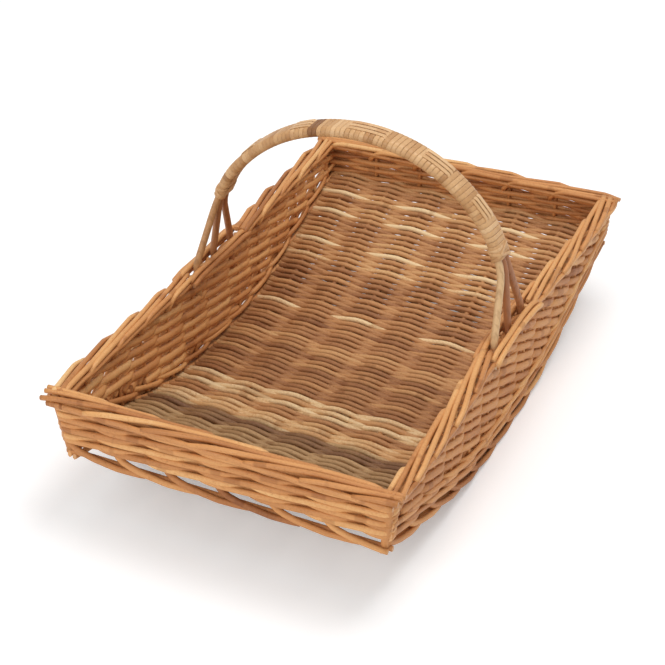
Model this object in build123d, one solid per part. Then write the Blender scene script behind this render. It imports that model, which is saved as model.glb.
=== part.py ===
"""Willow garden trug: a shallow woven tray on a bowed base, with a fixed bow handle.

X runs across the trug, Y along it and Z up.  The origin is on the ground, under
the middle of the tray.  All lengths are millimetres.

Each of the four walls is built once in its own frame, where X runs along the wall,
Y points away from the tray and Z is up, and is then turned to its place.
"""
from build123d import *
from dataclasses import dataclass
import os
from math import ceil, cos, floor, pi, radians, sin, sqrt, tan

# Overall form
length = 650.0            # rim, outside, along Y
width = 400.0             # rim, outside, along X at the ends
end_height = 66.0         # underside of the foot border to the top of the rim, at the ends
side_lean = 11.0          # how far a long side's foot stands inside its rim at the ends
end_lean = 4.0            # the same for the short ends
rim_pinch = 9.0           # how far the handle draws each long rim in
rim_crown = 4.0           # how far the long rims rise at the handle

# Bowed base: a flat middle, an arc and a straight ramp, alike to the front and the back
flat_half_length = 26.0
bow_half_length = 150.0
ramp_angle = 17.5         # degrees

# Rods
stake_diameter = 6.0
stick_diameter = 7.0
post_diameter = 9.0
foot_rod_diameter = 7.0
wale_diameter = 6.0
border_rod_diameter = 6.0
rod_sides = 8             # sides of the rods that follow the rim and the bow
fit = 0.3                 # clearance between a rod and its seat
post_play = 0.9           # the same at the slanted ends of a corner post
overrun = 5.0             # how far a cutting rod passes the face it leaves

# Weave
wall_thickness = 12.0
end_rows = 7
side_rows = 13            # packed tighter towards the ends, where the wall is low
base_thickness = 12.0
base_row = 6.5            # pitch of the floor's rows
floor_seat = 1.0          # underside of the floor, above the lower edge of the woven walls
weave_relief = 1.2        # depth of the groove between two rows
row_crest_shares = (0.28, 0.72)
window_height = 8.0       # open band between the foot border and the weave

# Stakes and sticks
side_pairs = 5            # stakes of a long side to each side of the handle
side_stake_inset = 65.0   # last stake of a long side, in from the outside of the rim
end_pairs = 2             # stakes of a short end to each side of its middle one
end_stake_inset = 80.0    # last stake of a short end, in from the outside of the rim
stake_foot = 1.0          # lower end of a stake, above the underside of the foot border
stick_count = 6
stick_inset = 57.5        # outermost sticks, in from the outside of the rim

# Border of laid rods
border_lanes = 3          # rods side by side at any place
handle_zone_margin = 2.0  # the laid rods stop this far past the stakes beside the handle

# Handle: three rods side by side, bound into one bow, with splayed legs
bow_rod_diameter = 8.0
bow_rise = 188.5          # middle of the rods at the top, above the rim
shoulder_rise = 110.0
neck_rise = 66.0          # where the binding ends and the legs part
bow_span_shares = (0.8475, 0.755, 0.395)    # neck, shoulder and crown, of the half width
crown_arc_share = 0.962   # of the line from the top's middle to the crown's corner
shoulder_arc_share = 0.62     # of what the crown's arc leaves of the line to the shoulder
neck_radius = 60.0
root_radius = 20.0
leg_gap = 14.0            # front and rear legs, at the rim, from the stakes beside them
leg_depth = 45.0          # how far the legs are pushed into the long walls
lapping_start = 14.0      # lower end of the lapping, up the bow from the neck
lapping_thickness = 1.2
binding_length = 14.0
binding_thickness = 1.6
leader_width = 4.0
leader_thickness = 0.8
leader_pitch = 6.0

# Worked out from the sizes above
half_length = length / 2
half_width = width / 2
side_pitch = (half_length - side_stake_inset) / side_pairs
end_pitch = (half_width - end_stake_inset) / end_pairs
stick_pitch = 2 * (half_width - stick_inset) / (stick_count - 1)
handle_zone_half = side_pitch + handle_zone_margin
leg_spread = side_pitch - leg_gap
bow_radius = (bow_half_length - flat_half_length) / sin(radians(ramp_angle))
foot_rod_offset = (stake_diameter + foot_rod_diameter) / 2 + fit
foot_half_width = foot_rod_offset + foot_rod_diameter / 2
wale_offset = (wall_thickness + wale_diameter) / 2 + fit
lane_pitch = border_rod_diameter + fit
border_half_width = (lane_pitch * border_lanes + border_rod_diameter) / 2
weave_start = foot_rod_diameter + window_height
floor_start = weave_start + floor_seat
bow_rod_pitch = bow_rod_diameter + fit


def foot_level(y):
    """Height of the underside of the foot border at a distance y from the middle."""
    run = abs(y)
    if run <= flat_half_length:
        return 0.0
    if run <= bow_half_length:
        return bow_radius - sqrt(bow_radius ** 2 - (run - flat_half_length) ** 2)
    ramp = radians(ramp_angle)
    return bow_radius * (1 - cos(ramp)) + (run - bow_half_length) * tan(ramp)


def draw_in(s):
    """Share of the handle's pull on a long rim: all in the middle, none at the ends."""
    return cos(pi / 2 * s / half_length) ** 4


end_foot = foot_level(half_length - end_lean)
rim_level = end_foot + end_height


@dataclass
class Wall:
    """A long side or a short end of the tray, as functions of the place s along it."""
    reach: float          # middle of the tray to the outside of the rim
    lean: float
    stakes: list
    pitch: float
    rows: int
    bowed: bool           # follows the bow of the base, and is drawn in by the handle

    def foot(self, s):
        return foot_level(s) if self.bowed else end_foot

    def rim(self, s):
        """Top of the border."""
        return rim_level + (rim_crown * draw_in(s) if self.bowed else 0)

    def top(self, s):
        """Upper edge of the weave, under the laid rods."""
        return self.rim(s) - border_rod_diameter - fit

    def foot_line(self):
        """Middle of the foot border."""
        return self.reach - self.lean - foot_half_width

    def rim_line(self, s):
        """Middle of the border."""
        pull = rim_pinch * draw_in(s) if self.bowed else 0
        return self.reach - border_half_width - pull

    def line(self, s, z):
        """Middle of the wall at a height z."""
        share = (z - self.foot(s)) / (self.rim(s) - self.foot(s))
        return self.foot_line() + share * (self.rim_line(s) - self.foot_line())

    def places(self, start, stop):
        """Where the sections of a piece that runs along the wall are drawn."""
        marks = [self.pitch * i for i in range(floor(start / self.pitch), ceil(stop / self.pitch) + 1)]
        if self.bowed:
            marks += [-flat_half_length, flat_half_length]
        return [start] + sorted(m for m in marks if start + fit < m < stop - fit) + [stop]


side = Wall(half_width, side_lean, [side_pitch * i for i in range(-side_pairs, side_pairs + 1) if i],
            side_pitch, side_rows, True)
end = Wall(half_length, end_lean, [end_pitch * i for i in range(-end_pairs, end_pairs + 1)],
           end_pitch, end_rows, False)


def rod_between(a, b, diameter):
    """A straight round rod."""
    axis = Vector(*b) - Vector(*a)
    return extrude(Plane(a, z_dir=axis) * Circle(diameter / 2), amount=axis.length)


def rod_along(places, lateral, level, diameter):
    """A rod that follows a wall, with its middle at (s, lateral(s), level(s))."""
    outline = RegularPolygon(diameter / 2, rod_sides, major_radius=False, rotation=180 / rod_sides)
    return loft([Plane.YZ.offset(s) * Pos(lateral(s), level(s)) * outline for s in places], ruled=True)


def rows_up(bottom, top, rows):
    """Heights and depths of a woven face's outline: a groove between rows, a crest on each."""
    row = (top - bottom) / rows
    points = []
    for i in range(rows):
        points.append((bottom + row * i, weave_relief))
        points += [(bottom + row * (i + share), 0) for share in row_crest_shares]
    return points + [(top, weave_relief)]


# Corner posts, and the end of each wall beside them
def post_point(z):
    y = end.line(0, z)
    return Vector(side.line(y, z), y, z)


def corner_post():
    """The post between the right side and the back end."""
    low = end_foot + foot_rod_diameter + post_play
    return rod_between(post_point(low), post_point(end.top(0) + fit - post_play), post_diameter)


def wall_end(wall, z):
    """How far a wall's weave runs at a height z."""
    corner = post_point(z)
    return (corner.Y if wall is side else corner.X) - post_diameter / 2 - fit


# Woven walls, with a channel for each stake
def wall_section(wall, place):
    """Outline of the woven wall on the plane through place(z), a distance along the wall."""
    foot, up = Vector(place(0), 0, 0), Vector(place(1), 0, 1) - Vector(place(0), 0, 0)
    s = place(wall.foot(0))
    outer, inner = [], []
    for z, depth in rows_up(wall.foot(s) + weave_start, wall.top(s), wall.rows):
        half = wall_thickness / 2 - depth
        middle = wall.line(place(z), z)
        outer.append((middle + half, z * up.length))
        inner.append((middle - half, z * up.length))
    return Plane(foot, x_dir=(0, 1, 0), z_dir=Vector(0, 1, 0).cross(up)) * make_face(
        Polyline(*outer, *reversed(inner), close=True))


def stake(wall, s, diameter, past=0.0):
    low = wall.foot(s) + stake_foot
    high = wall.top(s) + past
    return rod_between((s, wall.line(s, low), low), (s, wall.line(s, high), high), diameter)


def leg_channel(s):
    """Channel in a long wall for the end of a handle leg."""
    low, high = side.top(s) - leg_depth - fit, side.top(s) + overrun
    ends = [(s, side.line(s, z), z) for z in (low, high)]
    return rod_between(*ends, bow_rod_diameter + 2 * fit)


def woven_wall(wall):
    reach = wall_end(wall, wall.foot(0) + weave_start)
    inner_places = wall.places(-reach, reach)[1:-1] if wall.bowed else []
    sections = [wall_section(wall, lambda z: -wall_end(wall, z))]
    sections += [wall_section(wall, lambda z, s=s: s) for s in inner_places]
    sections.append(wall_section(wall, lambda z: wall_end(wall, z)))
    weave = loft(sections, ruled=True)
    channels = [stake(wall, s, stake_diameter + 2 * fit, overrun) for s in wall.stakes]
    if wall is side:
        channels += [leg_channel(s) for s in (-leg_spread, 0, leg_spread)]
    return weave - channels


# Borders and wales
def gripping_rods(wall, level, offset, diameter):
    """Two rods along a wall, one on each face, with their middles at level(s) and an offset
    from the middle of the wall.  The long walls' outer rods stop inside the short ends' outer
    ones, and the short ends' inner rods between the long walls' inner ones."""
    if wall is side:
        corner = end.line(0, level(half_length))
        stops = {1: corner + offset - diameter / 2 - fit, -1: corner - offset + diameter / 2}
    else:
        corner = side.line(half_length, level(half_length))
        stops = {1: corner + offset + diameter / 2, -1: corner - offset - diameter / 2 - fit}
    rods = []
    for face, stop in stops.items():
        lateral = lambda s, face=face: wall.line(s, level(s)) + face * offset
        rods.append(rod_along(wall.places(-stop, stop), lateral, level, diameter))
    return rods


def foot_rods(wall):
    """The foot border, which holds the stakes' lower ends."""
    level = lambda s: wall.foot(s) + foot_rod_diameter / 2
    return gripping_rods(wall, level, foot_rod_offset, foot_rod_diameter)


def wale_rods(wall):
    """The rods that grip the weave's upper edge, under the border."""
    level = lambda s: wall.top(s) - wale_diameter / 2
    return gripping_rods(wall, level, wale_offset, wale_diameter)


def laid_rods(wall, start, stop):
    """Rods laid one after another along the rim, each drifting from its inner to its outer edge."""
    span = border_lanes * wall.pitch
    rods = []
    for i in range(floor((start - span) / wall.pitch), ceil(stop / wall.pitch) + 1):
        origin = wall.pitch * i
        low, high = max(origin, start), min(origin + span, stop)
        if high - low < wall.pitch / 2:
            continue
        lane = lambda s, origin=origin: (s - origin) / wall.pitch - border_lanes / 2
        rods.append(rod_along(wall.places(low, high),
                              lambda s, lane=lane: wall.rim_line(s) + lane_pitch * lane(s),
                              lambda s: wall.rim(s) - border_rod_diameter / 2, border_rod_diameter))
    return rods


def handle_zone_rods():
    """Two straight rods of the long border, one each side of the handle's legs."""
    offset = (bow_rod_diameter + border_rod_diameter) / 2 + fit
    stop = handle_zone_half - fit
    return [rod_along(side.places(-stop, stop), lambda s, f=face: side.rim_line(s) + f * offset,
                      lambda s: side.rim(s) - border_rod_diameter / 2, border_rod_diameter)
            for face in (1, -1)]


# Floor
floor_reach = end.line(0, end_foot + floor_start) - wall_thickness / 2 - fit
floor_half_width = min(side.line(0, z) for z in (weave_start, side.top(0))) - wall_thickness / 2 - fit


def bow_path(level, x=0.0, past=0.0):
    """The bow of the base as one line, at a height above the foot border's underside."""
    knee = flat_half_length + bow_radius * tan(radians(ramp_angle) / 2)
    y = floor_reach + past
    return FilletPolyline((x, -y, foot_level(y) + level), (x, -knee, level), (x, knee, level),
                          (x, y, foot_level(y) + level), radius=bow_radius)


def base_stick(x, diameter, past=0.0):
    path = bow_path(floor_start + base_thickness / 2, x, past)
    return sweep(Plane(path @ 0, z_dir=path % 0) * Circle(diameter / 2), path=path)


def woven_floor(start, stop):
    """A part of the floor from one place along Y to another."""
    rows = round((stop - start) / base_row)
    outline = rows_up(start, stop, rows)
    under = [(0, y, foot_level(y) + floor_start + depth) for y, depth in outline]
    over = [(0, y, foot_level(y) + floor_start + base_thickness - depth) for y, depth in outline]
    section = make_face(Polyline(*under, *reversed(over), close=True))
    return extrude(section, amount=floor_half_width, both=True)


# Handle
def bow_points(lane):
    """Corners of a bow rod's line, from the right leg to the left one."""
    across, spread = lane * bow_rod_pitch, lane * leg_spread
    rim = side.rim(0)
    seat = side.top(spread) - leg_depth
    half = [(side.line(spread, seat), spread, seat),
            (side.line(spread, side.rim(spread)), spread, side.rim(spread))]
    half += [(half_width * share, across, rim + rise)
             for share, rise in zip(bow_span_shares, (neck_rise, shoulder_rise, bow_rise))]
    return half + [(-x, y, z) for x, y, z in reversed(half)]


def arc_radius(before, corner, after, arc):
    """Radius of the arc that takes a length of the line on each side of a corner."""
    turn = (corner - before).get_angle(after - corner)
    return arc / tan(radians(turn) / 2)


neck, shoulder, crown, far_crown = [Vector(*point) for point in bow_points(0)[2:6]]
crown_arc = crown_arc_share * crown.X
bare_neck = lapping_start + binding_length + 2 * fit
shoulder_arc = min(shoulder_arc_share * ((crown - shoulder).length - crown_arc),
                   (shoulder - neck).length - bare_neck)
crown_radius = arc_radius(shoulder, crown, far_crown, crown_arc)
shoulder_radius = arc_radius(neck, shoulder, crown, shoulder_arc)
bow_radii = [root_radius, neck_radius, shoulder_radius, crown_radius]


def bow_rod(lane):
    path = FilletPolyline(*bow_points(lane), radius=bow_radii + bow_radii[::-1])
    return sweep(Plane(path @ 0, z_dir=path % 0) * Circle(bow_rod_diameter / 2), path=path)


def lapped_path(past_start):
    """The bow's middle line, from one distance up from the neck to the same one on the other side."""
    start = neck + (shoulder - neck).normalized() * past_start
    half = [start, shoulder, crown]
    other = [Vector(-v.X, v.Y, v.Z) for v in reversed(half)]
    radii = [shoulder_radius, crown_radius]
    return FilletPolyline(*half, *other, radius=radii + radii[::-1])


def across_path(path, at=0.0):
    """Plane square to the bow, with its X along the width of the three rods."""
    return Plane(path @ at, x_dir=(0, 1, 0), z_dir=path % at)


bundle_width = 2 * bow_rod_pitch + bow_rod_diameter + 2 * fit
bundle_height = bow_rod_diameter + 2 * fit
lapped_width = bundle_width + 2 * lapping_thickness
lapped_height = bundle_height + 2 * lapping_thickness


def handle_lapping():
    path = lapped_path(lapping_start)
    section = SlotOverall(lapped_width, lapped_height) - SlotOverall(bundle_width, bundle_height)
    return sweep(across_path(path) * section, path=path)


def handle_leader(lane):
    """A flat strip that lies along the top of the lapping."""
    path = lapped_path(lapping_start + binding_length + fit)
    plane = across_path(path)
    out = 1 if plane.y_dir.dot(Vector(1, 0, 1)) > 0 else -1
    level = out * (lapped_height / 2 + fit + leader_thickness / 2)
    strip = Pos(lane * leader_pitch, level) * Rectangle(leader_width, leader_thickness)
    return sweep(plane * strip, path=path)


def end_binding():
    path = lapped_path(lapping_start)
    inside = SlotOverall(lapped_width + 2 * fit, lapped_height + 2 * fit)
    wrap = 2 * (fit + binding_thickness)
    outside = SlotOverall(lapped_width + wrap, lapped_height + wrap)
    return extrude(across_path(path) * (outside - inside), amount=binding_length)


# Every piece by its name
pieces = {}

sticks = [stick_pitch * (i - (stick_count - 1) / 2) for i in range(stick_count)]
stick_channels = [base_stick(x, stick_diameter + 2 * fit, overrun) for x in sticks]
pieces["base_weave_middle"] = woven_floor(-bow_half_length, bow_half_length) - stick_channels
pieces["base_weave_front"] = woven_floor(-floor_reach, -bow_half_length - fit) - stick_channels
pieces["base_weave_back"] = Rot(0, 0, 180) * pieces["base_weave_front"]
for i, x in enumerate(sticks):
    pieces[f"base_stick_{i + 1}"] = base_stick(x, stick_diameter)

built = {}
for key, wall in (("side", side), ("end", end)):
    border_end = half_length - 2 * border_half_width - fit
    if wall is side:
        border = laid_rods(side, -border_end, -handle_zone_half)
        border += laid_rods(side, handle_zone_half, border_end)
    else:
        border = laid_rods(end, -half_width, half_width)
    built[key] = {"weave": [woven_wall(wall)],
                  "stakes": [stake(wall, s, stake_diameter) for s in wall.stakes],
                  "foot_border": foot_rods(wall),
                  "top_wale": wale_rods(wall),
                  "border_rods": border}
built["side"]["handle_zone_rods"] = handle_zone_rods()

wall_turns = {"right": ("side", -90), "left": ("side", 90), "back": ("end", 0), "front": ("end", 180)}
for name, (key, turn) in wall_turns.items():
    for part, shapes in built[key].items():
        solids = [solid for shape in shapes for solid in shape.solids()]
        pieces[f"{name}_{part}"] = Rot(0, 0, turn) * Compound(children=solids)

right_back = corner_post()
left_back = mirror(right_back, Plane.YZ)
pieces["corner_post_back_right"] = right_back
pieces["corner_post_back_left"] = left_back
pieces["corner_post_front_right"] = Rot(0, 0, 180) * left_back
pieces["corner_post_front_left"] = Rot(0, 0, 180) * right_back

for name, lane in (("front", -1), ("middle", 0), ("rear", 1)):
    pieces[f"handle_{name}_rod"] = bow_rod(lane)
    pieces[f"handle_leader_{name}"] = handle_leader(lane)
pieces["handle_lapping"] = handle_lapping()
right_binding = end_binding()
pieces["handle_binding_right"] = right_binding
pieces["handle_binding_left"] = mirror(right_binding, Plane.YZ)

os.makedirs("parts", exist_ok=True)
for name, piece in pieces.items():
    export_step(piece, f"parts/{name}.step")
    print(f"{name:26s} {len(piece.solids()):3d} solids {piece.volume:12.1f} mm3")
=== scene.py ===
# %% [markdown]
# # A willow garden trug
# The trug is a shallow woven tray on a bowed base, with a bow handle fixed in its long rims.
# Its floor, walls, borders and handle were first drawn as solids.  Those solids are the frame
# of this file: each rod that is bent here follows them.  Lengths are metres, X runs across
# the trug, Y along it and Z up.

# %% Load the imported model
from dataclasses import dataclass
from math import ceil, cos, pi, radians, sin, tan

import bmesh
import bpy
import numpy as np
from mathutils import Matrix, Vector


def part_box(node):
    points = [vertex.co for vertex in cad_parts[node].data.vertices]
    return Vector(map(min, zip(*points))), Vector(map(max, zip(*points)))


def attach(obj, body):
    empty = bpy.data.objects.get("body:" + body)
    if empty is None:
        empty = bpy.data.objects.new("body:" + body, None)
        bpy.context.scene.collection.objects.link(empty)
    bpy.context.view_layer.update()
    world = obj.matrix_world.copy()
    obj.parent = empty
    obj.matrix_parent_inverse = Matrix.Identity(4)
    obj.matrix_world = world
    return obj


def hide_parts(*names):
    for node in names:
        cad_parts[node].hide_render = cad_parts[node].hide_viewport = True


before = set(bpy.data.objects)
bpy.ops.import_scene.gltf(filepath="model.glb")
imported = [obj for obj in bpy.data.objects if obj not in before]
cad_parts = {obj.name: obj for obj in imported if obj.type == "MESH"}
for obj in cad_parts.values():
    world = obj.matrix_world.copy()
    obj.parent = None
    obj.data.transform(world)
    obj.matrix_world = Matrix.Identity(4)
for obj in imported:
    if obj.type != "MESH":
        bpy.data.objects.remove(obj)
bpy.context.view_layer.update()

mm = 0.001
chance = np.random.default_rng(11)
print("solids loaded:", len(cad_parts))

# %% [markdown]
# ## The tray's lines
# A basket maker keeps to a few lines: where the rim runs, where the foot runs, and how the
# wall leans between them.  The largest sizes are read from the solids, so that the woven
# pieces cannot drift away from them.  The others are the maker's own sizes.

# %% Sizes of the tray
half_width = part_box("front_border_rods")[1].x
half_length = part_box("back_border_rods")[1].y
rim_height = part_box("back_border_rods")[1].z
rim_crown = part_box("right_handle_zone_rods")[1].z - rim_height
rim_pinch = 9 * mm              # how far the handle pulls each long rim in
pull_fade = 4
side_lean, end_lean = 11 * mm, 4 * mm   # how far a wall's rim stands outside its foot
flat_half, bow_half, ramp = 26 * mm, 150 * mm, radians(17.5)
bow_radius = (bow_half - flat_half) / sin(ramp)
side_pitch, end_pitch = 52 * mm, 60 * mm
foot_half = 10.3 * mm           # half the foot border's width
border_half = 12.45 * mm        # half the rim border's width
border_rod = 6.3 * mm
weave_start = 16 * mm           # lower edge of the weave, above the foot
print("rim at", round(rim_height / mm), "mm, crowned by", round(rim_crown / mm, 1), "mm")


# %% The bow of the base and the pull of the handle
def foot_level(y):
    """Height of the foot at a distance y from the middle: flat, then an arc, then a ramp."""
    run = np.abs(y)
    on_arc = np.clip(run, flat_half, bow_half) - flat_half
    arc = bow_radius - np.sqrt(bow_radius ** 2 - on_arc ** 2)
    return arc + np.maximum(run - bow_half, 0) * tan(ramp)


def draw_in(s):
    """Share of the handle's pull on a long rim, which fades soon on each side of it."""
    return np.cos(pi / 2 * np.clip(s / half_length, -1, 1)) ** pull_fade


end_foot = foot_level(half_length - end_lean)
print("foot at the ends:", round(float(end_foot) / mm, 1), "mm")


# %% A wall of the tray
@dataclass
class Wall:
    """One wall, with s running along it, n out of it and z up."""
    reach: float
    lean: float
    pitch: float
    stakes: list
    turn: float
    bowed: bool

    def foot(self, s):
        return foot_level(s) if self.bowed else end_foot + 0 * s

    def rim(self, s):
        return rim_height + (rim_crown * draw_in(s) if self.bowed else 0 * s)

    def line(self, s, z):
        """Middle of the wall, out from the middle of the trug."""
        foot_line = self.reach - self.lean - foot_half
        rim_line = self.reach - border_half - (rim_pinch * draw_in(s) if self.bowed else 0)
        share = (z - self.foot(s)) / (self.rim(s) - self.foot(s))
        return foot_line + share * (rim_line - foot_line)

    def place(self, s, n, z):
        """Points in the trug's own frame."""
        s, n, z = np.broadcast_arrays(np.asarray(s, float), n, z)
        out = self.line(s, z) + n
        c, d = cos(radians(self.turn)), sin(radians(self.turn))
        return np.stack([c * s - d * out, d * s + c * out, z], axis=1)

    def outward(self):
        return (-sin(radians(self.turn)), cos(radians(self.turn)), 0)


side_stakes = [side_pitch * i for i in range(-5, 6) if i]
end_stakes = [end_pitch * i for i in range(-2, 3)]
walls = {"right": Wall(half_width, side_lean, side_pitch, side_stakes, -90, True),
         "left": Wall(half_width, side_lean, side_pitch, side_stakes, 90, True),
         "back": Wall(half_length, end_lean, end_pitch, end_stakes, 0, False),
         "front": Wall(half_length, end_lean, end_pitch, end_stakes, 180, False)}
print("stakes:", {name: len(wall.stakes) for name, wall in walls.items()})


# %% [markdown]
# ## Old baskets slump
# No basket is square.  This one stands taller at its front left corner, and its foot is drawn
# in there.  One function moves every woven point by the same rule, so that the pieces still
# meet, and the handle, which stands at the middle, is left as it is.

# %% How the basket has slumped
slump_start = 60 * mm           # nothing moves nearer the middle than this
rim_lift_right, rim_lift_left = 6 * mm, 12 * mm
foot_drop_left = 5 * mm
rim_draw_left, foot_draw_left = 5 * mm, 11 * mm
slump_curve = 1.3               # above 1, the slump grows faster towards the front


def slump(points):
    x, y, z = points.T
    front = np.clip((-y - slump_start) / (half_length - slump_start), 0, 1) ** slump_curve
    left = np.clip(0.5 - 0.5 * x / half_width, 0, 1)
    up = np.clip((z - foot_level(y)) / (rim_height - end_foot), 0, 1)
    lift = up * (rim_lift_right + (rim_lift_left - rim_lift_right) * left)
    lift = lift - (1 - up) * left * foot_drop_left
    draw = left ** 2 * (up * rim_draw_left + (1 - up) * foot_draw_left)
    return np.stack([x + front * draw, y, z + front * lift], axis=1)


# %% [markdown]
# ## One rod, modelled once
# A willow rod is a long, slightly tapered stick.  It is modelled a unit thick and a unit long
# from a cylinder: its ends are inset, so that the pale pith of a cut end can show, and its
# length is subdivided so that it can bend.  A curve object could make the same rod, but a
# mesh keeps the number of faces in our hands, and there are hundreds of rods.

# %% Selecting by a test
def start_modelling():
    bpy.ops.object.select_all(action="DESELECT")


def pick(thing, kind, test):
    """In edit mode, selects the faces or edges that pass a test, and nothing else."""
    bpy.ops.mesh.select_mode(type={"faces": "FACE", "edges": "EDGE"}[kind])
    bpy.ops.mesh.select_all(action="DESELECT")
    shape = bmesh.from_edit_mesh(thing.data)
    for item in getattr(shape, kind):
        item.select_set(bool(test(item)))
    bmesh.update_edit_mesh(thing.data)


# %% The blank rod and the blank strip of cane
lengthwise = 0.5                # an edge or a normal with more than this along Z runs lengthwise
cut_inset, cut_radius = 0.1, 0.45       # of a rod one unit thick
end_reach = 1e-4                # corners this near an end of the blank belong to it
cane_bevel = 0.3


def read_blank(thing):
    """The modelled shape as arrays, which every copy is made from."""
    mesh = thing.data
    shape = {"co": np.array([v.co for v in mesh.vertices]),
             "loops": np.array([loop.vertex_index for loop in mesh.loops]),
             "sizes": np.array([face.loop_total for face in mesh.polygons]),
             "smooth": np.array([abs(face.normal.z) < lengthwise for face in mesh.polygons])}
    across = np.linalg.norm(shape["co"][:, :2], axis=1)
    ends = np.minimum(shape["co"][:, 2], 1 - shape["co"][:, 2]) < end_reach
    shape["cut"] = (ends & (across < cut_radius)).astype(float)
    bpy.data.objects.remove(thing)
    return shape


def is_long(edge):
    return abs(edge.verts[0].co.z - edge.verts[1].co.z) > lengthwise


def subdivide_length(thing, cuts):
    pick(thing, "edges", is_long)
    bpy.ops.mesh.subdivide(number_cuts=cuts)


def blank_rod(cuts, sides):
    start_modelling()
    bpy.ops.mesh.primitive_cylinder_add(vertices=sides, radius=0.5, depth=1, location=(0, 0, 0.5))
    bpy.ops.object.transform_apply()
    rod = bpy.context.object
    bpy.ops.object.mode_set(mode="EDIT")
    pick(rod, "faces", lambda face: abs(face.normal.z) > lengthwise)
    bpy.ops.mesh.inset(thickness=cut_inset)
    subdivide_length(rod, cuts)
    bpy.ops.object.mode_set(mode="OBJECT")
    return read_blank(rod)


def blank_cane(cuts):
    """A split strip: flat below, with its two upper edges rounded off."""
    start_modelling()
    bpy.ops.mesh.primitive_cube_add(size=1, location=(0, 0, 0.5))
    bpy.ops.object.transform_apply()
    strip = bpy.context.object
    bpy.ops.object.mode_set(mode="EDIT")
    pick(strip, "edges", lambda edge: is_long(edge) and all(v.co.y > 0 for v in edge.verts))
    bpy.ops.mesh.bevel(offset=cane_bevel, segments=2)
    subdivide_length(strip, cuts)
    bpy.ops.object.mode_set(mode="OBJECT")
    return read_blank(strip)


blanks = {}


def blank(cuts, sides):
    """A blank of the wanted fineness; no sides at all means a strip of cane."""
    if (cuts, sides) not in blanks:
        blanks[cuts, sides] = blank_rod(cuts, sides) if sides else blank_cane(cuts)
    return blanks[cuts, sides]


print("corners of a short rod:", len(blank(4, 6)["co"]), "and of a strip:", len(blank(4, 0)["co"]))

# %% [markdown]
# ## Bending a rod along a line
# The Curve modifier could bend each copy, one object at a time.  With hundreds of rods it is
# quicker to move the corners with the same rule: a corner's place along the blank becomes a
# place along the line, and its place across the blank is laid out square to the line there.
# Each corner also remembers its rod's tone, its distance along the rod, and whether it is on
# the cut face, which the willow's material reads.

# %% Reading along a line
def run_of(line):
    """Distance of each point of a line from its start."""
    return np.concatenate([[0], np.cumsum(np.linalg.norm(np.diff(line, axis=0), axis=1))])


def follow(values, run, place):
    """Rows of three values, read at other places along a line."""
    return np.stack([np.interp(place, run, values[:, i]) for i in range(3)], axis=1)


# %% Bend a copy of the blank
most_cuts = 98                  # the mesh operator's own limit is 100
grain_starts = 9                # metres of grain that a rod may be cut from


def bend(rods, line, width, facing=(0, 0, 1), tone=0.5, height=None, sides=6, step=6 * mm, pale=0.3):
    """Adds a rod along a line.

    Its width and height may be one number, or one for each end.  The step is the length of
    its facets, and pale says how much the pith of its cut ends shows."""
    line = np.asarray(line, float)
    run = run_of(line)
    cuts = min(most_cuts, 2 * max(1, round(run[-1] / step / 2)))
    shape = blank(cuts, sides)
    heading = np.gradient(line, axis=0)
    up = np.broadcast_to(np.asarray(facing, float), line.shape)
    share = shape["co"][:, 2]
    place = share * run[-1]
    centre, heading, up = [follow(values, run, place) for values in (line, heading, up)]
    across = np.cross(heading, up)
    across /= np.linalg.norm(across, axis=1, keepdims=True)
    up = np.cross(across, heading)
    up /= np.linalg.norm(up, axis=1, keepdims=True)
    width = np.interp(share, (0, 1), np.broadcast_to(width, 2))
    height = width if height is None else np.interp(share, (0, 1), np.broadcast_to(height, 2))
    co = centre + (shape["co"][:, :1] * width[:, None]) * across
    co = co + (shape["co"][:, 1:2] * height[:, None]) * up
    rods.append({"shape": shape, "co": co, "tone": tone, "pale": pale,
                 "along": place + chance.uniform(0, grain_starts)})


def waver(place, size, beat):
    """A rod's own small unevenness along its length."""
    return size * np.sin(place * beat + chance.uniform(0, 6))


# %% Join the bent rods into one piece
def gather(name, rods, material, slot, *nodes, settle=slump):
    """Makes one mesh of the bent rods and lets it stand for the solids named."""
    counts = [len(rod["co"]) for rod in rods]
    firsts = np.concatenate([[0], np.cumsum(counts)[:-1]])
    co = settle(np.concatenate([rod["co"] for rod in rods]))
    loops = np.concatenate([rod["shape"]["loops"] + first for rod, first in zip(rods, firsts)])
    sizes = np.concatenate([rod["shape"]["sizes"] for rod in rods])
    mesh = bpy.data.meshes.new(name)
    mesh.vertices.add(len(co))
    mesh.loops.add(len(loops))
    mesh.polygons.add(len(sizes))
    mesh.vertices.foreach_set("co", co.ravel())
    mesh.loops.foreach_set("vertex_index", loops)
    mesh.polygons.foreach_set("loop_start", np.cumsum(sizes) - sizes)
    mesh.polygons.foreach_set("loop_total", sizes)
    mesh.polygons.foreach_set("use_smooth", np.concatenate([rod["shape"]["smooth"] for rod in rods]))
    mesh.update(calc_edges=True)
    facts = {"tone": np.repeat([rod["tone"] for rod in rods], counts),
             "along": np.concatenate([rod["along"] for rod in rods]),
             "cut": np.concatenate([rod["shape"]["cut"] * rod["pale"] for rod in rods])}
    for fact, values in facts.items():
        mesh.attributes.new(fact, "FLOAT", "POINT").data.foreach_set("value", values)
    mesh.materials.append(material)
    piece = bpy.data.objects.new(name, mesh)
    bpy.context.collection.objects.link(piece)
    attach(piece, "root")
    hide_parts(*nodes)
    print(f"{name}: {len(rods)} rods, {int((sizes - 2).sum())} triangles")


# %% [markdown]
# ## Willow's colour
# Boiled willow is orange-brown, and no two rods are alike: each has its own tone, with paler
# and darker stretches along it, a dark ring at each bud and a pale pith where it is cut.  The
# sums are written as Python expressions, which a small class turns into nodes.

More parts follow.
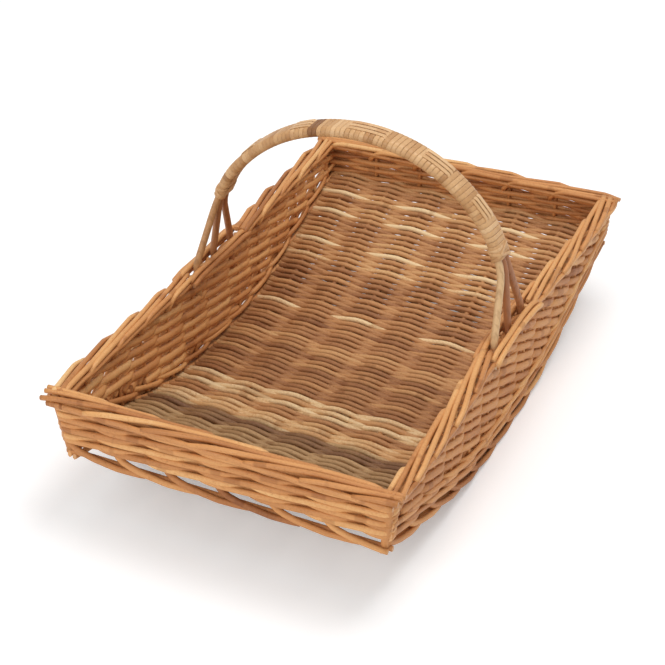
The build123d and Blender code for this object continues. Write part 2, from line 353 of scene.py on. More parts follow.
# %% Shader sums
class Sum:
    """A socket that Python's own signs work on."""
    def __init__(self, tree, socket):
        self.tree, self.socket = tree, socket

    def maths(self, operation, *values):
        return node(self.tree, "ShaderNodeMath", {"operation": operation}, values)

    def __add__(self, other): return self.maths("ADD", self, other)
    def __sub__(self, other): return self.maths("SUBTRACT", self, other)
    def __rsub__(self, other): return self.maths("SUBTRACT", other, self)
    def __mul__(self, other): return self.maths("MULTIPLY", self, other)
    __radd__, __rmul__ = __add__, __mul__

    def between(self, low, high):
        """None below the low value, all above the high one, smooth between them."""
        return node(self.tree, "ShaderNodeMapRange", {"interpolation_type": "SMOOTHSTEP"},
                    {"Value": self, "From Min": low, "From Max": high})


def node(tree, kind, settings, values, out=0):
    """Adds a node, sets it up, and fills its sockets with numbers, colours or links."""
    made = tree.nodes.new(kind)
    for key, value in settings.items():
        setattr(made, key, value)
    pairs = values.items() if isinstance(values, dict) else enumerate(values)
    for key, value in pairs:
        if isinstance(value, Sum):
            tree.links.new(value.socket, made.inputs[key])
        else:
            made.inputs[key].default_value = value
    return Sum(tree, made.outputs[out])


def ramp_of(tree, factor, stops):
    """A colour ramp from a list of places and colours."""
    made = tree.nodes.new("ShaderNodeValToRGB")
    steps = made.color_ramp.elements
    while len(steps) < len(stops):
        steps.new(0.5)
    for step, (place, colour) in zip(steps, stops):
        step.position = place
        step.color = (*colour, 1)
    tree.links.new(factor.socket, made.inputs[0])
    return Sum(tree, made.outputs[0])


def mix(tree, factor, below, above, blend="MIX"):
    """Mixes two colours."""
    made = tree.nodes.new("ShaderNodeMix")
    made.data_type = "RGBA"
    made.blend_type = blend
    for socket, value in zip((made.inputs[0], made.inputs[6], made.inputs[7]), (factor, below, above)):
        if isinstance(value, Sum):
            tree.links.new(value.socket, socket)
        else:
            socket.default_value = (*value, 1) if isinstance(value, tuple) else value
    return Sum(tree, made.outputs[2])


def new_material(name):
    material = bpy.data.materials.new(name)
    material.use_nodes = True
    return material, material.node_tree, material.node_tree.nodes["Principled BSDF"]


def noise(tree, place, scale, detail):
    return node(tree, "ShaderNodeTexNoise", {}, {"Vector": place, "Scale": scale, "Detail": detail})


def object_place(tree):
    """The point's own place in its object."""
    return node(tree, "ShaderNodeTexCoord", {}, {}, out=3)


def dress(tree, skin, colour, rough, height, depth):
    """Gives a skin its colour, its roughness and its bumps."""
    tree.links.new(colour.socket, skin.inputs["Base Color"])
    tree.links.new(rough.socket, skin.inputs["Roughness"])
    bump = node(tree, "ShaderNodeBump", {}, {"Height": height, "Distance": depth})
    tree.links.new(bump.socket, skin.inputs["Normal"])


# %% The willow itself
pith = (0.80, 0.62, 0.38)
stretch_rate, bud_rate = 14, 38         # steps of the noise in a metre along the rod
stretch_start, bud_start = 60, 91       # shift of the noise from one tone to another
mottle_scale, fibre_scale = 420.0, 1500.0
stretch_share, mottle_share = 0.55, 0.25    # what each moves a rod along its ramp
bud_edges, bud_depth = (0.66, 0.72), 0.8
fleck_level, fleck_edge, fleck_depth = 0.42, 0.2, 0.5
rough_spread = 0.3


def willow(name, tones, rough=0.5, dark_stretch=0.72, grain_depth=0.12 * mm):
    material, tree, skin = new_material(name)
    tone, along, cut = [node(tree, "ShaderNodeAttribute", {"attribute_name": fact}, {}, out=2)
                        for fact in ("tone", "along", "cut")]
    spot = node(tree, "ShaderNodeCombineXYZ", {}, (along * stretch_rate, tone * stretch_start, 0.0))
    stretch = noise(tree, spot, 1.0, 3.0)
    place = object_place(tree)
    mottle = noise(tree, place, mottle_scale, 2.0)
    fibre = noise(tree, place, fibre_scale, 1.0)
    bud_spot = node(tree, "ShaderNodeCombineXYZ", {}, (along * bud_rate, tone * bud_start, 4.0))
    bud = noise(tree, bud_spot, 1.0, 0.0)
    shade = tone + (stretch - 0.5) * stretch_share + (mottle - 0.5) * mottle_share
    bark = ramp_of(tree, shade, tones)
    # dark bark is redder than pale bark, so green and blue fall more than red does
    dark = mix(tree, 1.0, bark, (dark_stretch, dark_stretch * 0.88, dark_stretch * 0.78), "MULTIPLY")
    colour = mix(tree, bud.between(*bud_edges) * bud_depth, bark, dark)
    colour = mix(tree, (fleck_level - mottle).between(0, fleck_edge) * fleck_depth, colour, dark)
    dress(tree, skin, mix(tree, cut, colour, pith), rough + (fibre - 0.5) * rough_spread,
          fibre + mottle, grain_depth)
    skin.inputs["Specular IOR Level"].default_value = 0.35
    return material


wall_tones = [(0.0, (0.25, 0.080, 0.024)), (0.28, (0.46, 0.180, 0.056)), (0.55, (0.63, 0.280, 0.095)),
              (0.80, (0.74, 0.375, 0.138)), (1.0, (0.84, 0.520, 0.230))]
floor_tones = [(0.0, (0.16, 0.062, 0.024)), (0.30, (0.37, 0.160, 0.062)), (0.55, (0.54, 0.265, 0.105)),
               (0.80, (0.66, 0.380, 0.165)), (1.0, (0.84, 0.620, 0.350))]
olive_tones = [(0.0, (0.11, 0.045, 0.021)), (0.30, (0.21, 0.095, 0.042)), (0.55, (0.33, 0.175, 0.072)),
               (0.80, (0.50, 0.305, 0.140)), (1.0, (0.72, 0.520, 0.300))]
wall_willow = willow("wall_willow", wall_tones)
foot_willow = willow("foot_willow", wall_tones, rough=0.55)
border_willow = willow("border_willow", wall_tones, rough=0.42)
floor_willow = willow("floor_willow", floor_tones, rough=0.55)
floor_olive = willow("floor_olive", olive_tones, rough=0.55)
print("willow materials:", [m.name for m in bpy.data.materials if "willow" in m.name])

# %% [markdown]
# ## The floor
# Six thick sticks run the length of the base.  Weavers cross them, over one and under the
# next, and the row after does the opposite, which makes the humps.  Towards the front the
# rows lie wider apart, and then the maker changed to thin rods, in bands of one colour.  A
# formula gives the humps, which are lower at the back.

# %% The floor's sticks
stick_places = np.array([-150, -96, -40, 17.5, 76, 134]) * mm
stick_width = 7 * mm
floor_middle = 22 * mm          # middle of the floor, above the foot
floor_half, floor_reach = 180 * mm, 312 * mm        # half the floor's width and length

y = np.linspace(-floor_reach, floor_reach, 120)
for i, x in enumerate(stick_places):
    rods = []
    bend(rods, np.stack([x + 0 * y, y, foot_level(y) + floor_middle], axis=1), stick_width,
         tone=chance.uniform(0.2, 0.5), sides=8, step=8 * mm)
    gather(f"floor_stick_{i + 1}", rods, floor_willow, "base_stick", f"base_stick_{i + 1}")

# %% The floor's rows
# places along Y, and what is read between them: the humps' height, then the rows' spacing
# and the thickness of their rods
hump_marks = np.array([-306, -100, 100, 306]) * mm
humps = np.array([4.8, 4.4, 3.9, 3.6]) * mm
row_marks = np.array([-306, -222, -206, -90, -60, 306]) * mm
row_pitches = np.array([4.1, 4.3, 5.8, 5.8, 4.3, 3.9]) * mm
row_rods = np.array([5.0, 5.2, 6.8, 6.8, 6.5, 6.5]) * mm
bands_end = row_marks[4]        # the rows in front of this are banded
sharpness = 0.1                 # share of a third wave, which turns a rod sharply over a stick
row_lean = 0.6 * mm
row_taper = 0.92


def floor_row(rods, y, over, tone):
    """One weaver across the trug, over the even sticks or over the odd ones."""
    x = np.linspace(-floor_half, floor_half, 141)
    spans = np.diff(stick_places).mean()
    count = np.interp(x, stick_places, range(len(stick_places)))
    count += np.minimum(x - stick_places[0], 0) / spans + np.maximum(x - stick_places[-1], 0) / spans
    wave = (np.cos(pi * count) + sharpness * np.cos(3 * pi * count)) / (1 + sharpness)
    hump = np.interp(y, hump_marks, humps) * (1 if over else -1)
    height = hump * wave * chance.uniform(0.88, 1.08)
    lean = chance.uniform(-row_lean, row_lean)
    rows = y + lean * np.sin(x / floor_half * 2) + waver(x, 0.4 * mm, 60)
    line = np.stack([x, rows, foot_level(y) + floor_middle + height], axis=1)
    width = np.interp(y, row_marks, row_rods) * chance.uniform(0.93, 1.07)
    bend(rods, line, (width, width * row_taper), tone=tone, step=7 * mm)


pale_band, plain_band = (0.66, 0.86), (0.28, 0.60)
peeled_chance, peeled_tone = 0.03, 0.95     # a peeled rod, here and there
back_paler = 0.1

floor_rods = {"front": [], "middle": [], "back": []}
at, over, band_left, pale = row_marks[0] + 2 * mm, True, 0, False
while at < floor_reach:
    stretch = "front" if at < -bow_half else "back" if at > bow_half else "middle"
    if band_left == 0:
        banded = at < bands_end
        band_left = int(chance.integers(3, 8)) if banded else int(chance.integers(1, 4))
        pale = not pale
        band_tone = chance.uniform(*(pale_band if pale and banded else plain_band))
    band_left -= 1
    tone = peeled_tone if chance.uniform() < peeled_chance else band_tone + chance.normal(0, 0.07)
    tone += back_paler if stretch == "back" else 0
    floor_row(floor_rods[stretch], at, over, tone)
    at += np.interp(at, row_marks, row_pitches)
    over = not over
for stretch, rods in floor_rods.items():
    gather(f"floor_rows_{stretch}", rods, floor_olive if stretch == "front" else floor_willow,
           "floor_willow", f"base_weave_{stretch}")

# %% [markdown]
# ## The woven walls
# The long walls are woven with climbing weavers.  Each one starts at a stake of its own and
# goes in front of one stake and behind the next, so they all climb side by side, steeply
# outside and back down a little inside.  A band that follows the bow closes them below.  The
# short walls and that band are waled: three weavers, each in front of two stakes and behind
# one.

# %% Lengths of a weaver
def lengths(start, stop, typical):
    """Splits a long row where one rod ran out and the next was laid in."""
    marks = [start]
    while marks[-1] < stop:
        marks.append(marks[-1] + typical * chance.uniform(0.7, 1.3))
    marks[-1] = stop
    return list(zip(marks, marks[1:]))


def wall_tone():
    return float(np.clip(chance.normal(0.56, 0.15), 0.12, 0.97))


# %% Climbing weavers and waling
climb = 6.6 * mm                # rise of a climbing weaver from one stake to the next
climb_swing = 2.3 * mm          # how far it goes out and in of the wall's middle
climber, climber_taper, climber_flat = 9.8 * mm, 0.84, 0.66
climber_length = 430 * mm
wale_swing, wale_cross = 4.4 * mm, 2.3 * mm     # out and in, and up and down
weaver = 6.9 * mm
lap = 6 * mm                    # how far a rod runs past the place where the next begins
crossing = 2.4                  # the higher, the more quickly a weaver crosses over
calm_start, calm_reach, calm_share = 190 * mm, 90 * mm, 0.35


def climbing(rods, wall, floor_gap, rim_gap, end):
    """Fills a long wall with weavers that climb towards the front or the back."""
    s = np.linspace(-end, end, 700)
    most = ceil(end / wall.pitch + (rim_height + rim_crown) / climb)
    for m in range(-most, most + 1):
        u = s / wall.pitch + m
        wiggle = np.sin(pi * u) - np.sin(3 * pi * u) / 9
        z = climb * (u + calm(s) * wiggle) + wall.rim(s) - rim_height
        inside = (z > wall.foot(s) + floor_gap) & (z < wall.rim(s) - rim_gap)
        if inside.sum() < 8:
            continue
        for low, high in lengths(s[inside][0], s[inside][-1], climber_length):
            here = np.linspace(low - 5 * mm, high + 5 * mm, 160)
            n = squared(np.interp(here, s, np.cos(pi * u))) * climb_swing * chance.uniform(0.94, 1.06)
            height = np.interp(here, s, z) + waver(here, 0.4 * mm, 31)
            thick = climber * chance.uniform(0.88, 1.08) * np.array((1, climber_taper))
            bend(rods, wall.place(here, n, height), thick, tone=wall_tone(),
                 height=thick * climber_flat, facing=wall.outward(), step=5 * mm)


def squared(wave):
    """A wave that stays out for most of its way and crosses over quickly."""
    return np.tanh(crossing * wave) / np.tanh(crossing)


def calm(s):
    """The weavers' own wave, which is weaker near the corners."""
    return 1 - calm_share * np.clip((np.abs(s) - calm_start) / calm_reach, 0, 1)


def waling(rods, wall, level, start, stop, strand, slant, post=None, typical=330 * mm):
    """One strand of a three-rod wale, at a level that may depend on the place.

    The slant is 1 or -1 and says which way the strands cross.  The short walls' weavers turn
    round a post, and show no pith, since their ends are tucked in."""
    for low, high in lengths(start, stop, typical):
        s = np.linspace(low - lap, high + lap, 160)
        turn = 2 * pi / 3 * (s / wall.pitch + 0.5 - strand)
        n = wale_swing * squared(0.85 * np.cos(turn) + 0.3)     # longer outside than inside
        z = level(s) + slant * wale_cross * np.sin(turn) + waver(s, 0.5 * mm, 27)
        if post:
            s, n = round_post(s, n, *post)
        width = weaver * chance.uniform(0.86, 1.1)
        bend(rods, wall.place(s, n, z), (width * 0.8, width * 0.7), tone=wall_tone(), step=5 * mm,
             height=(width, width * 0.88), pale=0 if post else 0.3)


def round_post(s, n, begins, radius):
    """Turns a line inwards round a corner post, from the place where the bend begins."""
    past = np.maximum(np.abs(s) - begins, 0)
    angle = np.minimum(past / radius, pi / 2)
    straight = np.maximum(past - radius * pi / 2, 0)
    reach = np.minimum(np.abs(s), begins) + radius * np.sin(angle)
    n = np.where(past > 0, n * np.cos(angle) + (1 - np.cos(angle)) * 0.4 * wale_swing, n)
    return np.sign(s) * (reach - 0.5 * straight), n - radius * (1 - np.cos(angle)) - straight


# %% The long walls
band_rows, band_pitch = 2, 11 * mm
band_gap, rim_gap = 1 * mm, 12 * mm     # what the climbing weavers keep clear
side_end = half_length - 19 * mm

for name in ("right", "left"):
    wall, rods = walls[name], []
    climbing(rods, wall, weave_start + band_rows * band_pitch + band_gap, rim_gap, side_end)
    for k in range(band_rows):
        level = lambda s, k=k: wall.foot(s) + weave_start + band_pitch * (k + 0.5)
        for strand in range(3):
            waling(rods, wall, level, -side_end, side_end, strand, 1)
    gather(f"{name}_wall_weave", rods, wall_willow, "wall_willow", f"{name}_weave")

# %% The short walls
end_rows, end_row_pitch = 4, 10.6 * mm
post_bend, post_inset = 9 * mm, 4 * mm
wrap = post_bend * pi / 2 + 8 * mm      # how far a weaver runs past the start of its turn

for name in ("front", "back"):
    wall, rods = walls[name], []
    for k in range(end_rows):
        height = end_foot + weave_start + end_row_pitch * (k + 0.5)
        corner = walls["right"].line(np.array(half_length), height) - post_inset
        for strand in range(3):
            waling(rods, wall, lambda s, h=height: h + 0 * s, -corner - wrap, corner + wrap,
                   strand, -1, post=(corner, post_bend), typical=460 * mm)
    gather(f"{name}_wall_weave", rods, wall_willow, "wall_willow", f"{name}_weave")

# %% [markdown]
# ## Stakes and corner posts
# The stakes stand inside the walls.  A stake is one rod on the real trug: it is turned over
# into the rim above and into the foot below.  Here the straight part, the foot and the rim
# are pieces of their own, as the solids are.

# %% Stakes
stake_width, stake_taper, post_width = 5.4 * mm, 0.92, 9 * mm
stake_low, stake_high = weave_start - 3 * mm, 7 * mm    # above the foot, and below the rim

for name, wall in walls.items():
    rods = []
    for s in wall.stakes:
        z = np.linspace(wall.foot(np.array(s)) + stake_low, wall.rim(np.array(s)) - stake_high, 12)
        bend(rods, wall.place(s, 0, z), (stake_width, stake_width * stake_taper), wall.outward(),
             wall_tone(), step=20 * mm)
    gather(f"{name}_wall_stakes", rods, wall_willow, "stake", f"{name}_stakes")

# %% Corner posts
for end_name, y_sign in (("front", -1), ("back", 1)):
    for side_name, x_sign in (("left", -1), ("right", 1)):
        z = np.linspace(end_foot + 8 * mm, rim_height - 6 * mm, 8)
        y = walls["back"].line(np.zeros(8), z)
        x = walls["right"].line(y, z)
        rods = []
        bend(rods, np.stack([x_sign * x, y_sign * y, z], axis=1), post_width, (0, y_sign, 0), 0.45,
             sides=8)
        gather(f"post_{end_name}_{side_name}", rods, wall_willow, "corner_post",
               f"corner_post_{end_name}_{side_name}")

# %% [markdown]
# ## The foot
# Below the weave each stake turns to the right, runs down along the foot and ends past the
# next stake or two.  That leaves a small window beside every stake, pointed where the rod
# leaves the weave and blunt where the next one comes down.

# %% Foot borders
foot_rod, foot_back_rod = 6.6 * mm, 5.6 * mm
foot_back_depth, foot_back_height = -2.5 * mm, 3 * mm
side_foot_end = half_length - 13 * mm
end_foot_end = half_width - side_lean - 2 * mm
fall_shares = np.array([-0.06, 0.0, 0.15, 0.5, 1.0, 1.4, 1.65])     # of the pitch, to the right
fall_heights = np.array([20, 16, 10.5, 6.4, 3.6, 2.9, 2.9]) * mm
fall_depths = np.array([0, 1.5, 2.5, 3.6, 4.2, 2.6, 0.6]) * mm

for name, wall in walls.items():
    rods = []
    ends = side_foot_end if wall.bowed else end_foot_end
    starts = sorted(wall.stakes + ([0.0] if wall.bowed else []) + [wall.stakes[-1] + wall.pitch])
    for origin in starts:
        share = np.linspace(fall_shares[0], fall_shares[-1] * chance.uniform(0.9, 1.0), 40)
        s = origin - share * wall.pitch
        keep = np.abs(s) < ends
        s, share = s[keep], share[keep]
        if len(s) < 4:
            continue
        z = wall.foot(s) + np.interp(share, fall_shares, fall_heights)
        n = np.interp(share, fall_shares, fall_depths)
        bend(rods, wall.place(s, n, z), (foot_rod, foot_rod * 0.8), tone=wall_tone() - 0.03, step=7 * mm,
             height=(foot_rod, foot_rod * 0.86), pale=0.1)
    s = np.linspace(-ends, ends, 200)
    bend(rods, wall.place(s, foot_back_depth, wall.foot(s) + foot_back_height), foot_back_rod,
         tone=wall_tone() - 0.1, step=7 * mm)
    gather(f"{name}_foot", rods, foot_willow, "foot_willow", f"{name}_foot_border")

# %% [markdown]
# ## The rim
# At the rim each stake is turned over and laid along the edge.  It starts at the inner side,
# where it comes up, and drifts to the outer side as the next ones are laid inside it, so
# three lie side by side at any place.  A long rod grips the weave under them on each face.

# %% Top wales
wale_rod, wale_drop, wale_length = 5.8 * mm, 9.6 * mm, 380 * mm
wale_depth, wale_sway = 8.2 * mm, 0.7 * mm
wale_lap = 8 * mm

for name, wall in walls.items():
    rods = []
    ends = half_length - 12 * mm if wall.bowed else half_width - 8 * mm
    for face in (1, -1):
        for low, high in lengths(-ends, ends, wale_length):
            s = np.unique(np.clip(np.linspace(low - wale_lap, high + wale_lap, 160), -ends, ends))
            z = wall.rim(s) - wale_drop + wale_sway * np.sin(s * 24 + face)
            n = face * (wale_depth + wale_sway * np.sin(2 * pi * s / wall.pitch))
            bend(rods, wall.place(s, n, z), wale_rod, tone=wall_tone(), step=7 * mm)
    gather(f"{name}_rim_wale", rods, border_willow, "wale_willow", f"{name}_top_wale")

# %% Laid rods of the rim
zone_half = side_pitch + 2 * mm     # the handle's stretch of the rim, which has rods of its own
side_rim_end, end_rim_end = half_length - 11 * mm, half_width - 1 * mm
laid_shares = np.array([-0.1, -0.02, 0.08, 0.25, 1.05, 2.1, 3.0, 3.5])      # of the pitch
laid_lanes = np.array([-0.6, -0.8, -0.92, -0.96, -0.66, 0.1, 0.9, 0.9])     # of the outer lane
laid_drops = np.array([18, 11, 6.0, 3.6, 2.9, 2.9, 3.6, 9.0]) * mm
outer_lane = border_half - border_rod / 2
laid_tall, laid_tall_tip, laid_taper = border_rod * 0.95, border_rod * 0.7, 0.74

for name, wall in walls.items():
    rods = []
    ends = side_rim_end if wall.bowed else end_rim_end
    stretches = [(-ends, -zone_half), (zone_half, ends)] if wall.bowed else [(-ends, ends)]
    first = -round(ends / wall.pitch) - 3
    for i in range(first, -first + 1):
        origin = wall.pitch * i
        share = np.linspace(laid_shares[0], laid_shares[-1] * chance.uniform(0.94, 1.0), 90)
        s = origin + share * wall.pitch
        for low, high in stretches:
            keep = (s > low) & (s < high)
            if keep.sum() < 12:
                continue
            z = wall.rim(s) - np.interp(share, laid_shares, laid_drops) + waver(s, 0.5 * mm, 50)
            n = outer_lane * np.interp(share, laid_shares, laid_lanes) + waver(s, 0.6 * mm, 34)
            thick = border_rod * chance.uniform(1.0, 1.16)
            line = wall.place(s[keep], n[keep], z[keep])
            bend(rods, line, (thick, thick * laid_taper), tone=wall_tone() + 0.07, step=7 * mm,
                 sides=8, height=(laid_tall, laid_tall_tip), pale=0.15)
    gather(f"{name}_rim", rods, border_willow, "border_willow", f"{name}_border_rods")

# %% Rods that pass the handle's legs
leg_half = 4 * mm               # half a handle leg's thickness
passing_inner = leg_half + border_rod / 2 + 0.4 * mm
passing_rods = ((passing_inner, 3.0 * mm), (passing_inner + 5 * mm, 6.5 * mm))  # out, and down
dip_start, dip_reach, dip_depth = zone_half - 6 * mm, 16 * mm, 3 * mm

for name in ("right", "left"):
    wall, rods = walls[name], []
    s = np.linspace(-zone_half - 10 * mm, zone_half + 10 * mm, 60)
    dip = np.clip((np.abs(s) - dip_start) / dip_reach, 0, 1) * dip_depth
    for face in (1, -1):
        for lane, drop in passing_rods:
            n = face * (lane + 0.5 * mm * np.sin(s * 60 + lane * 900))
            bend(rods, wall.place(s, n, wall.rim(s) - drop - dip), border_rod * 0.95,
                 tone=wall_tone() + 0.08, step=7 * mm, sides=8)
    gather(f"{name}_handle_zone", rods, border_willow, "border_willow", f"{name}_handle_zone_rods")

# %% [markdown]
# ## The handle
# Three thick rods make the bow.  Their feet stand apart in the long walls and come together
# at the necks.  A strip of split cane is wound round all three.  Three flat leaders lie
# along the top: the winding passes under them for a while and then over them, which makes
# the pattern.  Each turn of the winding is one short strip, bent round the bundle.  The bow
# has been pulled a little to the right over the years, so every part of it leans alike.

# %% The bow's line
rim_top = rim_height + rim_crown
neck_rise, shoulder_rise, bow_rise = 66 * mm, 110 * mm, 188.5 * mm
neck = np.array([169.5 * mm, 0, rim_top + neck_rise])
shoulder = np.array([151 * mm, 0, rim_top + shoulder_rise])
crown = np.array([79 * mm, 0, rim_top + bow_rise])
root_radius, neck_radius, shoulder_radius, crown_radius = 20 * mm, 60 * mm, 109 * mm, 173 * mm
lapping_start = 14 * mm
handle_lean = 7.8 * mm          # how far the crown has been pulled to the right


def leaning(points):
    x, y, z = points.T
    return np.stack([x + handle_lean * np.clip((z - rim_top) / bow_rise, 0, None), y, z], axis=1)


def unit(v):
    return v / np.linalg.norm(v)


def rounded(points, radii):
    """A line of straights joined by arcs, as evenly spaced points."""
    out = [points[0]]
    for before, corner, after, radius in zip(points, points[1:], points[2:], radii):
        a, b = unit(before - corner), unit(after - corner)
        half = np.arccos(np.clip(a @ b, -1, 1)) / 2
        centre = corner + unit(a + b) * radius / sin(half)
        start, stop = corner + a * radius / tan(half), corner + b * radius / tan(half)
        for share in np.linspace(0, 1, 24):
            out.append(centre + radius * unit((1 - share) * (start - centre) + share * (stop - centre)))
    out = np.array(out + [points[-1]])
    run = run_of(out)
    even = np.linspace(0, run[-1], 400)
    return follow(out, run, even), even


mirror_x = np.array([-1, 1, 1])
lap_start = neck + unit(shoulder - neck) * lapping_start
lapped_half = [lap_start, shoulder, crown]
bow, bow_run = rounded(lapped_half + [point * mirror_x for point in lapped_half[::-1]],
                       [shoulder_radius, crown_radius, crown_radius, shoulder_radius])
bow_heading = np.gradient(bow, axis=0)
bow_heading /= np.linalg.norm(bow_heading, axis=1, keepdims=True)
bow_out = np.cross(bow_heading, (0, -1, 0))
bow_out *= np.sign(bow_out[len(bow) // 2][2])
print("the winding covers", round(bow_run[-1] / mm), "mm of the bow")

# %% One turn round the bundle
bundle_flat = 16.6 * mm         # flat part of the bundle's top and bottom
bundle_round = 4.3 * mm         # radius of its rounded sides
cane_width, cane_thick = 5.4 * mm, 1.0 * mm


def on_bow(values, run):
    return follow(values, bow_run, run)


def bundle_outline(share, clear):
    """Across and out of the bundle, and the way that each points, at shares of one turn."""
    radius = bundle_round + clear
    whole = 2 * bundle_flat + 2 * pi * radius
    at = (np.asarray(share) % 1) * whole
    half = bundle_flat + pi * radius
    second = at >= half
    at = np.where(second, at - half, at)
    angle = np.clip((at - bundle_flat) / radius, 0, pi)
    across = np.minimum(at, bundle_flat) - bundle_flat / 2 + radius * np.sin(angle)
    out = -radius * np.cos(angle)
    facing_across, facing_out = np.sin(angle), -np.cos(angle)
    flip = np.where(second, -1, 1)
    return across * flip, out * flip, facing_across * flip, facing_out * flip


def wound(rods, start, advance, turns, clear, width, tone, first_share=0.0):
    """A strip that winds round the bundle, from one place along the bow.

    It goes on by the advance in each turn, and clear is how far the strip's middle lies
    outside the bundle."""
    share = np.linspace(0, turns, max(8, round(60 * turns)))
    run = start + advance * share
    across, out, face_across, face_out = bundle_outline(first_share + share, clear)
    up = on_bow(bow_out, run)
    sideways = np.array([0, 1, 0])
    line = on_bow(bow, run) + across[:, None] * sideways + out[:, None] * up
    facing = face_across[:, None] * sideways + face_out[:, None] * up
    bend(rods, line, width, facing, tone, height=cane_thick, sides=0, step=2.6 * mm)


# %% Cane's colour
cane_tones = [(0.0, (0.27, 0.120, 0.045)), (0.35, (0.50, 0.262, 0.108)), (0.65, (0.65, 0.385, 0.182)),
              (1.0, (0.82, 0.560, 0.320))]
handle_cane = willow("handle_cane", cane_tones, rough=0.38, dark_stretch=0.8, grain_depth=0.08 * mm)
leader_cane = willow("leader_cane", cane_tones, rough=0.34, dark_stretch=0.85, grain_depth=0.08 * mm)

# %% The winding
full_turn = 1.02                # a little over one turn, so that no seam opens
winding_clear = 1.3 * mm
patch_from, patch_to, patch_tone = 0.60, 0.625, -0.1    # a dark patch of old skin

rods = []
turn_count = ceil(bow_run[-1] / cane_width)
turn_pitch = bow_run[-1] / turn_count
for i in range(turn_count):
    tone = float(np.clip(chance.normal(0.56, 0.1), 0.1, 1))
    if patch_from < i / turn_count < patch_to:
        tone = patch_tone
    width = turn_pitch * chance.uniform(0.93, 1.0)
    wound(rods, turn_pitch * i, turn_pitch, full_turn, winding_clear, width, tone)
gather("handle_winding", rods, handle_cane, "handle_cane", "handle_lapping", settle=leaning)

# %% The leaders
leader_pitch, leader_width, leader_thick = 6.6 * mm, 4.8 * mm, 0.9 * mm
bare_shares = ((0.10, 0.17), (0.245, 0.33), (0.425, 0.53), (0.625, 0.69), (0.80, 0.86))
bare_edge = 0.006               # of the bow, where a leader goes under the winding
under_level, bare_lift = bundle_round + 0.6 * mm, 1.9 * mm
run = np.linspace(0, bow_run[-1], 300)
share = run / bow_run[-1]
bare = np.zeros_like(share)
for low, high in bare_shares:
    bare = np.maximum(bare, np.clip(np.minimum(share - low, high - share) / bare_edge, 0, 1))
level = under_level + bare * bare_lift
top = on_bow(bow_out, run)
for label, lane in (("front", -1), ("middle", 0), ("rear", 1)):
    rods = []
    line = on_bow(bow, run) + top * level[:, None] + np.array([0, lane * leader_pitch, 0])
    bend(rods, line, leader_width, top, 0.75 + 0.08 * lane, height=leader_thick, sides=0,
         step=4.5 * mm)
    gather(f"leader_{label}", rods, leader_cane, "leader_cane", f"handle_leader_{label}", settle=leaning)

# %% Bindings at the necks
binding_length, binding_pitch, binding_width = 14 * mm, 3.4 * mm, 3.3 * mm
binding_clear = 1.9 * mm
cross_width, cross_clear = 3.0 * mm, 2.7 * mm   # the two oblique half turns on top
cross_advance, cross_back, cross_first = 26 * mm, 13 * mm, 0.49

for name, start in (("right", 0), ("left", bow_run[-1] - binding_length)):
    rods = []
    for i in range(4):
        wound(rods, start + binding_pitch * i, binding_pitch, full_turn, binding_clear, binding_width,
              0.4 + 0.08 * i)
    for lean in (1, -1):
        low = start + (0 if lean > 0 else cross_back)
        wound(rods, low, lean * cross_advance, 0.5, cross_clear, cross_width, 0.6, cross_first)
    gather(f"binding_{name}", rods, handle_cane, "handle_cane", f"handle_binding_{name}", settle=leaning)

# %% [markdown]
# ## Bark of the handle's rods
# The bow's rods are thick and smooth, with a soft sheen.  Two of them are red-brown.  The
# front one is pale straw at its right leg and tan at its left one, so its colour changes
# along X, which is read from the object's own coordinates.  Each rod is one long bend.

# %% Bark
streak_stretch = (160, 420, 60)         # long streaks up the legs, and shorter ones along the bow
streak_edges, streak_depth = (0.42, 0.75), 0.7
fine_scale = 900.0
colour_change = (-0.12, 0.12)           # from the left leg's colour to the right leg's, along X


def bark(name, right_colour, left_colour):
    material, tree, skin = new_material(name)
    place = object_place(tree)
    x = node(tree, "ShaderNodeSeparateXYZ", {}, (place,))
    long_place = node(tree, "ShaderNodeMapping", {}, {"Vector": place, "Scale": streak_stretch})
    streak = noise(tree, long_place, 1.0, 3.0)
    fine = noise(tree, place, fine_scale, 2.0)
    colour = mix(tree, x.between(*colour_change), left_colour, right_colour)
    dark = mix(tree, 1.0, colour, (0.62, 0.54, 0.48), "MULTIPLY")
    colour = mix(tree, streak.between(*streak_edges) * streak_depth, colour, dark)
    dress(tree, skin, colour, 0.36 + fine * 0.2, streak + fine * 0.5, 0.1 * mm)
    return material


red_brown = (0.40, 0.155, 0.058)
barks = {"front": bark("bark_pale", (0.72, 0.470, 0.240), (0.52, 0.270, 0.110)),
         "middle": bark("bark_red", red_brown, (0.44, 0.19, 0.075)),
         "rear": bark("bark_red_rear", (0.42, 0.17, 0.065), red_brown)}

# %% The bow's three rods
bow_rod, bow_rod_pitch = 8 * mm, 8.3 * mm
leg_spread, leg_depth = 38 * mm, 45 * mm

for lane, (label, material) in zip((-1, 0, 1), barks.items()):
    seat_x = walls["right"].line(np.array(0.0), rim_top)
    feet = [np.array([seat_x, lane * leg_spread, rim_top + rise]) for rise in (-leg_depth, 0)]
    half = feet + [point + np.array([0, lane * bow_rod_pitch, 0]) for point in (neck, shoulder, crown)]
    radii = [root_radius, neck_radius, shoulder_radius, crown_radius]
    line, _ = rounded(half + [point * mirror_x for point in half[::-1]], radii + radii[::-1])
    rods = []
    bend(rods, line, bow_rod, (0, 1, 0), sides=12, step=9 * mm)
    gather(f"handle_rod_{label}", rods, material, "handle_rod", f"handle_{label}_rod", settle=leaning)

# %% [markdown]
# ## Light, floor and camera
# A pale floor takes the soft shadow, and one large lamp with a bright sky gives the light of
# a product photograph.  What the camera sees behind the trug is white.

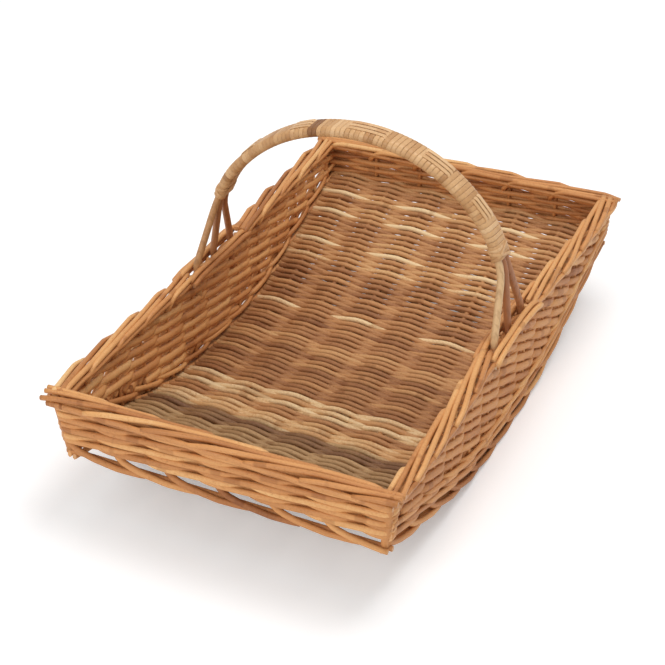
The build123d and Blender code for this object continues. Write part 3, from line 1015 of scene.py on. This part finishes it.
# %% Sky
world = bpy.data.worlds.new("sky")
bpy.context.scene.world = world
world.use_nodes = True
sky_tree = world.node_tree
sky_tree.nodes.clear()
ray = sky_tree.nodes.new("ShaderNodeLightPath")
soft = sky_tree.nodes.new("ShaderNodeBackground")       # lights the trug
bright = sky_tree.nodes.new("ShaderNodeBackground")     # is what the camera sees
soft.inputs["Color"].default_value = (1.0, 0.99, 0.98, 1)
soft.inputs["Strength"].default_value = 0.58
bright.inputs["Strength"].default_value = 1.0
bright.inputs["Color"].default_value = (1, 1, 1, 1)
chooser = sky_tree.nodes.new("ShaderNodeMixShader")
sky_out = sky_tree.nodes.new("ShaderNodeOutputWorld")
sky_tree.links.new(ray.outputs["Is Camera Ray"], chooser.inputs[0])
sky_tree.links.new(soft.outputs[0], chooser.inputs[1])
sky_tree.links.new(bright.outputs[0], chooser.inputs[2])
sky_tree.links.new(chooser.outputs[0], sky_out.inputs[0])

# %% Floor
start_modelling()
bpy.ops.mesh.primitive_plane_add(size=9, location=(0, 0, 0))
ground = bpy.context.object
ground.name = "studio_floor"
paper, paper_tree, paper_skin = new_material("studio_paper")
paper_skin.inputs["Base Color"].default_value = (0.95, 0.955, 0.96, 1)
paper_skin.inputs["Roughness"].default_value = 0.9
paper_skin.inputs["Specular IOR Level"].default_value = 0.0
# the camera sees the paper a little brighter than the trug does
seen = node(paper_tree, "ShaderNodeLightPath", {}, {})
glow = mix(paper_tree, seen, (0.0, 0.0, 0.0), (0.19, 0.195, 0.2))
paper_tree.links.new(glow.socket, paper_skin.inputs["Emission Color"])
paper_skin.inputs["Emission Strength"].default_value = 1.0
ground.data.materials.append(paper)


# %% Lamps
def lamp(name, place, size, power):
    """A round soft lamp that faces the middle of the trug's foot."""
    light = bpy.data.lights.new(name, "AREA")
    light.shape, light.size, light.energy = "DISK", size, power
    thing = bpy.data.objects.new(name, light)
    bpy.context.collection.objects.link(thing)
    thing.location = place
    thing.rotation_euler = (-Vector(place)).to_track_quat("-Z", "Y").to_euler()


lamp("key_lamp", (0.45, 0.4, 2.35), 1.5, 25)
lamp("fill_lamp", (-0.6, -2.2, 1.3), 1.5, 18)

# %% Camera, as solved from the photograph
view_turn, view_rise, view_roll = radians(26.84), radians(34.0), radians(-0.93)
view_target = Vector((-15.4, -26.4, 91.4)) * mm
view_distance = 1834.9 * mm
backward = Vector((sin(view_turn) * cos(view_rise), -cos(view_turn) * cos(view_rise), sin(view_rise)))
level_right = (-backward).cross(Vector((0, 0, 1))).normalized()
level_up = level_right.cross(-backward)
camera_x = cos(view_roll) * level_right + sin(view_roll) * level_up
camera_y = cos(view_roll) * level_up - sin(view_roll) * level_right
camera = bpy.data.objects.new("camera", bpy.data.cameras.new("camera"))
bpy.context.collection.objects.link(camera)
camera.matrix_world = (Matrix.Translation(view_target + backward * view_distance)
                       @ Matrix((camera_x, camera_y, backward)).transposed().to_4x4())
camera.data.sensor_width = 36
camera.data.lens = 89.93
bpy.context.scene.camera = camera
bpy.context.scene.view_settings.view_transform = "Standard"
